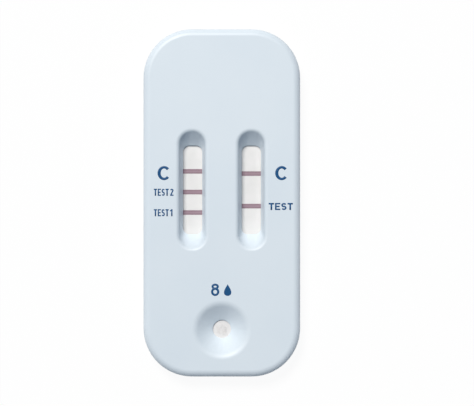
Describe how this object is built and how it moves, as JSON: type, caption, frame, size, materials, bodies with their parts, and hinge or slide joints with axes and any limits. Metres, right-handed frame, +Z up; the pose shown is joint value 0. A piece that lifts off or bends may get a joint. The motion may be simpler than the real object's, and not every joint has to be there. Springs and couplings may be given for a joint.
{
  "type": "lateral flow test cassette",
  "caption": "Flat rounded plastic test cassette with two dished result windows over striped test strips and a funnel-shaped sample well.",
  "frame": {"origin": "centre of the underside of the cassette, on the surface it lies on", "axes": "+X across the cassette to the right, as it is read with the sample well nearest, +Y along it from the sample well towards the result windows, +Z up out of the deck"},
  "size_m": [0.0316, 0.07, 0.0056],
  "materials": {
    "case_plastic": "fine satin",
    "backing_plastic": "matte",
    "membrane": "fine matte",
    "reagent_line": "fine matte",
    "conjugate_fibre": "matte",
    "pad_fibre": "matte"
  },
  "bodies": {
    "root": {"top_cover": "case_plastic", "bottom_case": "case_plastic", "shared_sample_pad": "pad_fibre", "left_backing_card": "backing_plastic", "right_backing_card": "backing_plastic", "left_membrane": "membrane", "right_membrane": "membrane", "left_control_line": "reagent_line", "left_upper_test_line": "reagent_line", "left_lower_test_line": "reagent_line", "right_control_line": "reagent_line", "right_test_line": "reagent_line", "left_conjugate_pad": "conjugate_fibre", "right_conjugate_pad": "conjugate_fibre", "left_sample_pad": "pad_fibre", "right_sample_pad": "pad_fibre", "left_absorbent_pad": "pad_fibre", "right_absorbent_pad": "pad_fibre"}
  },
  "joints": []
}
